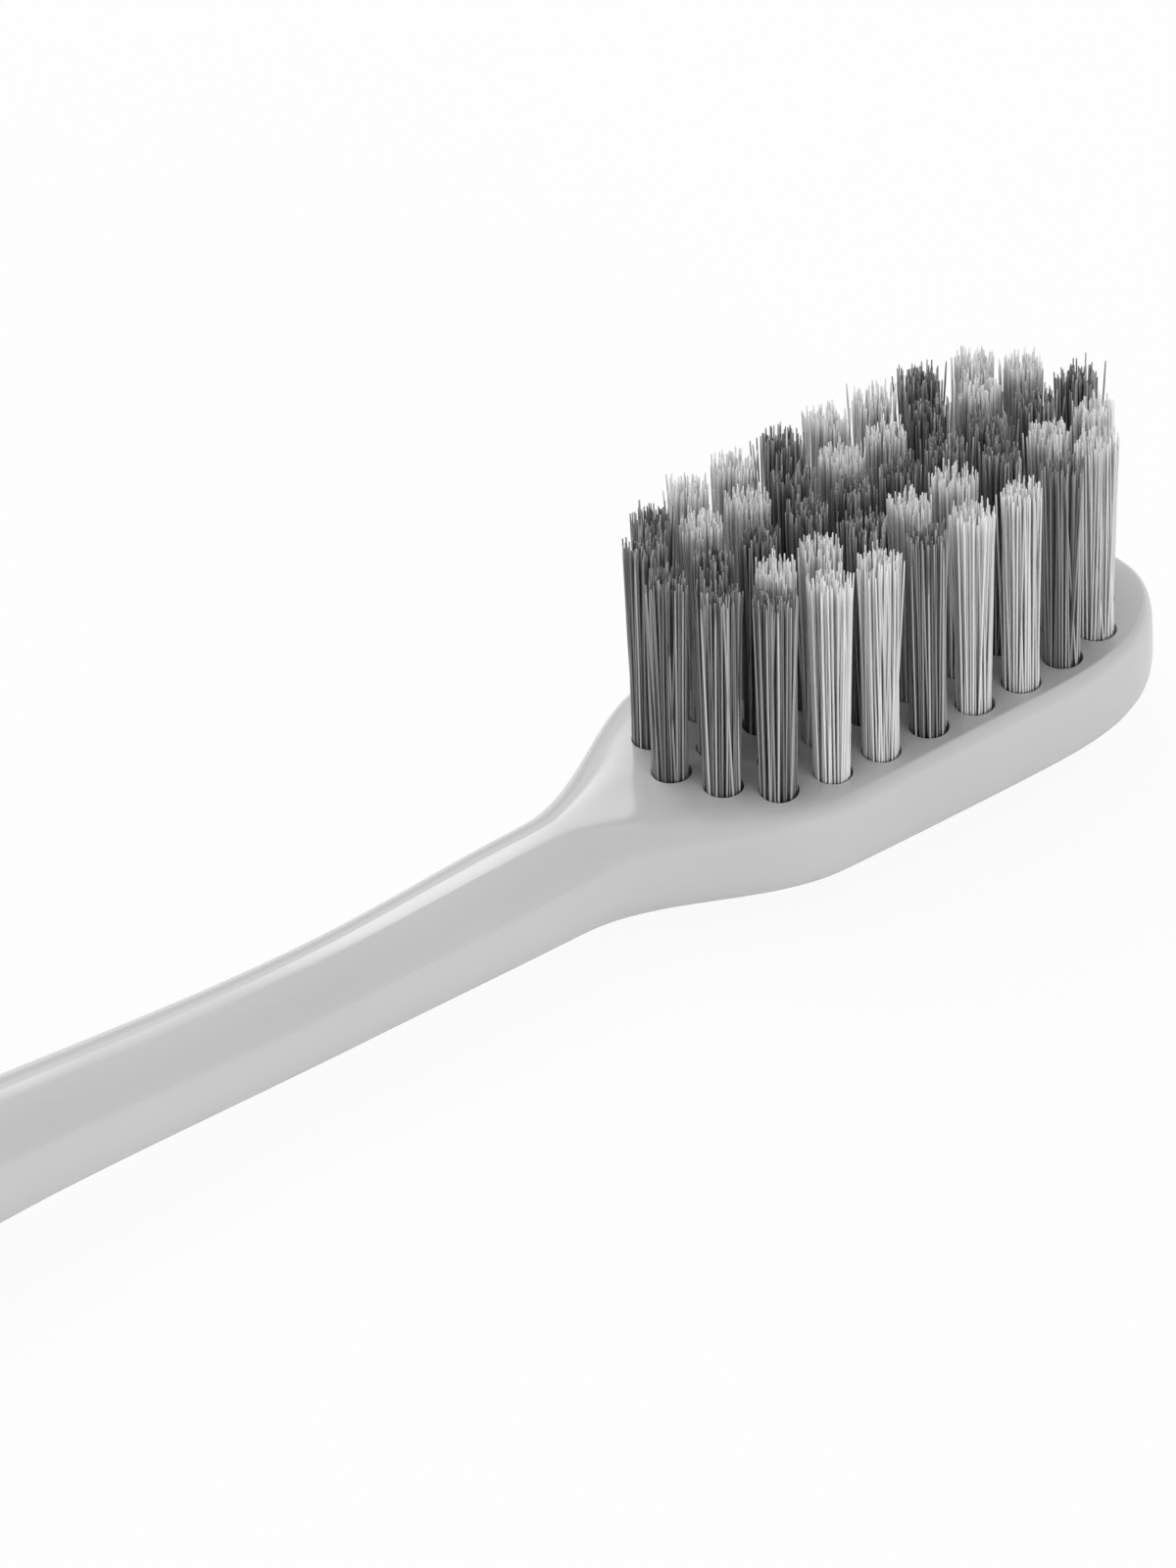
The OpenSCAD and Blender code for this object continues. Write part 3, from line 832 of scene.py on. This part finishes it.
def drawn_nylon(tone_name, base, low, high):
    """Nylon drawn through a fine die into filament: satin, its own tone even along its length, each filament
    of a slightly different tone. Its colour is scaled by painted light: painted shade deep in a tuft, and a
    painted highlight or painted shade at the tips."""
    material, tree, shader = new_material("drawn_nylon_" + tone_name)
    tone = add_node(tree, "ShaderNodeAttribute", attribute_name="tone").outputs["Fac"]
    shade = add_node(
        tree,
        "ShaderNodeMix",
        {0: tone, 6: toned(base, low), 7: toned(base, high)},
        data_type="RGBA",
    )
    # Painted light: the filament's tone is scaled by its painted shade and painted tip light
    painted_light = add_node(tree, "ShaderNodeAttribute", attribute_name="painted_light")
    left = add_node(
        tree,
        "ShaderNodeVectorMath",
        {0: shade.outputs[2], "Scale": painted_light.outputs["Fac"]},
        operation="SCALE",
    )
    shown = add_node(tree, "ShaderNodeVectorMath", {0: left.outputs[0], 1: (1, 1, 1)}, operation="MINIMUM")
    tree.links.new(shown.outputs[0], shader.inputs["Base Color"])
    low_rough, high_rough = NYLON_ROUGHNESS
    satin = add_node(tree, "ShaderNodeMapRange", {"Value": tone, "To Min": low_rough, "To Max": high_rough})
    tree.links.new(satin.outputs["Result"], shader.inputs["Roughness"])
    shader.inputs["IOR"].default_value = 1.53
    return material


def rolled_brass(look):
    """Brass strip, cold rolled and sheared: a soft metal shine with fine lines along the strip."""
    material, tree, shader = new_material("rolled_brass")
    place = add_node(tree, "ShaderNodeTexCoord").outputs["Object"]
    along = add_node(tree, "ShaderNodeMapping", {"Vector": place, "Scale": (ROLL_STRETCH, 1, 1)})
    lines = add_node(
        tree,
        "ShaderNodeTexNoise",
        {"Vector": along.outputs["Vector"], "Scale": 1 / ROLL_LINE_W},
    ).outputs["Fac"]
    dull, bright = [toned(look.brass, tone) for tone in BRASS_TONES]
    shade = add_node(tree, "ShaderNodeMix", {0: lines, 6: dull, 7: bright}, data_type="RGBA")
    tree.links.new(shade.outputs[2], shader.inputs["Base Color"])
    low_rough, high_rough = BRASS_ROUGHNESS
    worn = add_node(tree, "ShaderNodeMapRange", {"Value": lines, "To Min": low_rough, "To Max": high_rough})
    tree.links.new(worn.outputs["Result"], shader.inputs["Roughness"])
    shader.inputs["Metallic"].default_value = 1
    return material


# Stage

FLOOR_W = 60  # Metres, so that the floor's far edge lies at the horizon from every side
WHITE = (1, 1, 1, 1)

# Where the paler wall starts and ends, as parts of a direction: behind the brush, over the table, under
# the ceiling
BACK_BAND = (("Y", -0.1, 0.1), ("Z", 0.25, 0.35), ("Z", 0.7, 0.6))


def outward(azimuth, elevation):
    """The way to a place round the brush: azimuth 0 is its right side, 90 its tip, 180 its left side."""
    flat = math.cos(elevation)
    return Vector((flat * math.sin(azimuth), -flat * math.cos(azimuth), math.sin(elevation)))


def softbox(name, target, azimuth, elevation, distance, spread, level, feather):
    """An area lamp that faces the target. Spread is its width and height as seen from there, in degrees.
    Its light fades towards its edges over the share of its size that feather gives."""
    way = outward(math.radians(azimuth), math.radians(elevation))
    width, height = [2 * distance * math.tan(math.radians(a) / 2) for a in spread]
    data = bpy.data.lights.new(name, "AREA")
    data.shape = "RECTANGLE"
    data.size, data.size_y = width, height
    data.energy = level * math.pi * width * height
    data.use_nodes = True
    tree = data.node_tree
    tree.nodes.clear()
    place = add_node(tree, "ShaderNodeNewGeometry").outputs["Parametric"]
    sides = add_node(tree, "ShaderNodeSeparateXYZ", {0: place})
    strength = 1
    for side, reach in zip("XY", feather):
        middle = add_node(tree, "ShaderNodeMath", {0: sides.outputs[side], 1: 0.5}, operation="SUBTRACT")
        off = add_node(tree, "ShaderNodeMath", {0: middle.outputs[0]}, operation="ABSOLUTE")
        strength = add_node(
            tree,
            "ShaderNodeMapRange",
            {"Value": off.outputs[0], "From Min": 0.5, "From Max": 0.5 - reach, "To Max": strength},
            interpolation_type="SMOOTHSTEP",
        ).outputs["Result"]
    glow = add_node(tree, "ShaderNodeEmission", {"Color": WHITE, "Strength": strength})
    add_node(tree, "ShaderNodeOutputLight", {"Surface": glow.outputs[0]})
    lamp = bpy.data.objects.new(name, data)
    lamp.location = target + way * distance
    lamp.rotation_mode = "QUATERNION"
    lamp.rotation_quaternion = (-way).to_track_quat("-Z", "Y")
    lamp.visible_camera = False
    bpy.context.scene.collection.objects.link(lamp)
    return lamp


def build_floor(settings):
    """A pale floor under the brush. The camera sees it nearly white, with the brush's shadow kept."""
    select_none()
    bpy.ops.mesh.primitive_plane_add(size=FLOOR_W, location=(0, 0, 0))
    floor = bpy.context.object
    floor.name = floor.data.name = "studio_floor"
    material = bpy.data.materials.new("painted_floor")
    material.use_nodes = True
    tree = material.node_tree
    tree.nodes.clear()
    paint = add_node(tree, "ShaderNodeBsdfDiffuse", {"Color": list(settings.floor) + [1]})
    white = add_node(tree, "ShaderNodeEmission", {"Color": WHITE, "Strength": 1})
    rays = add_node(tree, "ShaderNodeLightPath")
    white_parts = {
        "Is Camera Ray": settings.white_share,
        "Is Glossy Ray": settings.mirror_share,
        "Is Transmission Ray": settings.mirror_share,
    }
    share = 0
    for ray, white_part in white_parts.items():
        part = add_node(tree, "ShaderNodeMath", {0: rays.outputs[ray], 1: white_part}, operation="MULTIPLY")
        larger = add_node(tree, "ShaderNodeMath", {0: share, 1: part.outputs[0]}, operation="MAXIMUM")
        share = larger.outputs[0]
    both = add_node(tree, "ShaderNodeMixShader", {0: share, 1: paint.outputs[0], 2: white.outputs[0]})
    add_node(tree, "ShaderNodeOutputMaterial", {"Surface": both.outputs[0]})
    floor.data.materials.append(material)


def build_world(settings):
    """The walls of the studio: one even level, and a paler wall above the table behind the brush."""
    world = bpy.data.worlds.new("studio")
    bpy.context.scene.world = world
    world.use_nodes = True
    tree = world.node_tree
    tree.nodes.clear()
    way = add_node(tree, "ShaderNodeTexCoord").outputs["Generated"]
    sides = add_node(tree, "ShaderNodeSeparateXYZ", {0: way})
    level = settings.back_wall
    for side, start, end in BACK_BAND:
        level = add_node(
            tree,
            "ShaderNodeMapRange",
            {"Value": sides.outputs[side], "From Min": start, "From Max": end, "To Max": level},
            interpolation_type="SMOOTHSTEP",
        ).outputs["Result"]
    room = add_node(tree, "ShaderNodeMath", {0: level, 1: settings.room})
    walls = add_node(tree, "ShaderNodeBackground", {"Color": WHITE, "Strength": room.outputs[0]})
    add_node(tree, "ShaderNodeOutputWorld", {"Surface": walls.outputs[0]})


def build_lamps(settings, target):
    """A softbox behind the brush that neck and shoulder mirror, one over it, and one in front of it."""
    shoulder = Vector((68.9 * MM, 1.0 * MM, 5.7 * MM))
    softbox(
        "back_softbox",
        shoulder,
        azimuth=164,
        elevation=39,
        distance=0.6,
        spread=(41, 21),
        level=settings.back_level,
        feather=(0.2, 0.12),
    )
    softbox(
        "top_softbox",
        target,
        azimuth=195,
        elevation=60,
        distance=0.9,
        spread=(60, 50),
        level=settings.top_level,
        feather=(0.25, 0.25),
    )
    front = softbox(
        "front_softbox",
        target,
        azimuth=0,
        elevation=12,
        distance=0.9,
        spread=(40, 30),
        level=settings.front_level,
        feather=(0.3, 0.3),
    )
    front.visible_glossy = False


def build_stage(settings):
    """Floor, world, lamps and the camera of the photograph."""
    build_floor(settings)
    build_world(settings)
    target = Vector((settings.target_x, settings.target_y, settings.target_z))
    build_lamps(settings, target)
    data = bpy.data.cameras.new("camera")
    data.lens = settings.lens
    data.sensor_fit = "VERTICAL"
    data.sensor_height = 36
    data.clip_start, data.clip_end = 0.01, 50
    camera = bpy.data.objects.new("camera", data)
    back = outward(settings.azimuth, settings.elevation)
    turned = (
        Matrix.Rotation(settings.azimuth, 4, "Z")
        @ Matrix.Rotation(math.pi / 2 - settings.elevation, 4, "X")
        @ Matrix.Rotation(settings.roll, 4, "Z")
    )
    camera.matrix_world = Matrix.Translation(target + back * settings.distance) @ turned
    bpy.context.scene.collection.objects.link(camera)
    bpy.context.scene.camera = camera
    bpy.context.scene.view_settings.view_transform = "Standard"


# Operators

class TOOTHBRUSH_OT_handle(bpy.types.Operator):
    """Models the moulded handle with its tuft holes"""

    bl_idname = "toothbrush.handle"
    bl_label = "Moulded handle"

    def execute(self, context):
        build_handle(context.scene.toothbrush_handle)
        return {"FINISHED"}


class TOOTHBRUSH_OT_tufts(bpy.types.Operator):
    """Models one filament and packs the tufts with its copies"""

    bl_idname = "toothbrush.tufts"
    bl_label = "Bristle tufts"

    def execute(self, context):
        build_tufts(context.scene.toothbrush_tufts)
        return {"FINISHED"}


class TOOTHBRUSH_OT_anchors(bpy.types.Operator):
    """Gives the anchor plates of the frame their brass"""

    bl_idname = "toothbrush.anchors"
    bl_label = "Anchor plates"

    def execute(self, context):
        plates = frame["nodes"]["anchor_plates"]
        brass = rolled_brass(context.scene.toothbrush_anchors)
        for slot in plates.material_slots:
            slot.material = brass
        return {"FINISHED"}


class TOOTHBRUSH_OT_stage(bpy.types.Operator):
    """Adds the floor, the world, the lamps and the camera"""

    bl_idname = "toothbrush.stage"
    bl_label = "Studio"

    def execute(self, context):
        build_stage(context.scene.toothbrush_stage)
        return {"FINISHED"}


OPERATORS = (TOOTHBRUSH_OT_handle, TOOTHBRUSH_OT_tufts, TOOTHBRUSH_OT_anchors, TOOTHBRUSH_OT_stage)


class TOOTHBRUSH_PT_panel(bpy.types.Panel):
    """Lists the operators in the sidebar"""

    bl_idname = "TOOTHBRUSH_PT_panel"
    bl_label = "Toothbrush"
    bl_space_type = "VIEW_3D"
    bl_region_type = "UI"
    bl_category = "Toothbrush"

    def draw(self, context):
        for operator in OPERATORS:
            self.layout.operator(operator.bl_idname)


GROUPS = {
    "toothbrush_handle": HandleSizes,
    "toothbrush_tufts": TuftSizes,
    "toothbrush_anchors": AnchorLook,
    "toothbrush_stage": StageSettings,
}


def register():
    for group in GROUPS.values():
        bpy.utils.register_class(group)
    for name, group in GROUPS.items():
        setattr(bpy.types.Scene, name, PointerProperty(type=group))
    for cls in (*OPERATORS, TOOTHBRUSH_PT_panel):
        bpy.utils.register_class(cls)


def unregister():
    for cls in (TOOTHBRUSH_PT_panel, *OPERATORS):
        bpy.utils.unregister_class(cls)
    for name, group in GROUPS.items():
        delattr(bpy.types.Scene, name)
        bpy.utils.unregister_class(group)


def main():
    register()
    bpy.ops.toothbrush.handle()
    bpy.ops.toothbrush.tufts()
    bpy.ops.toothbrush.anchors()
    bpy.ops.toothbrush.stage()


if __name__ == "__main__":
    main()
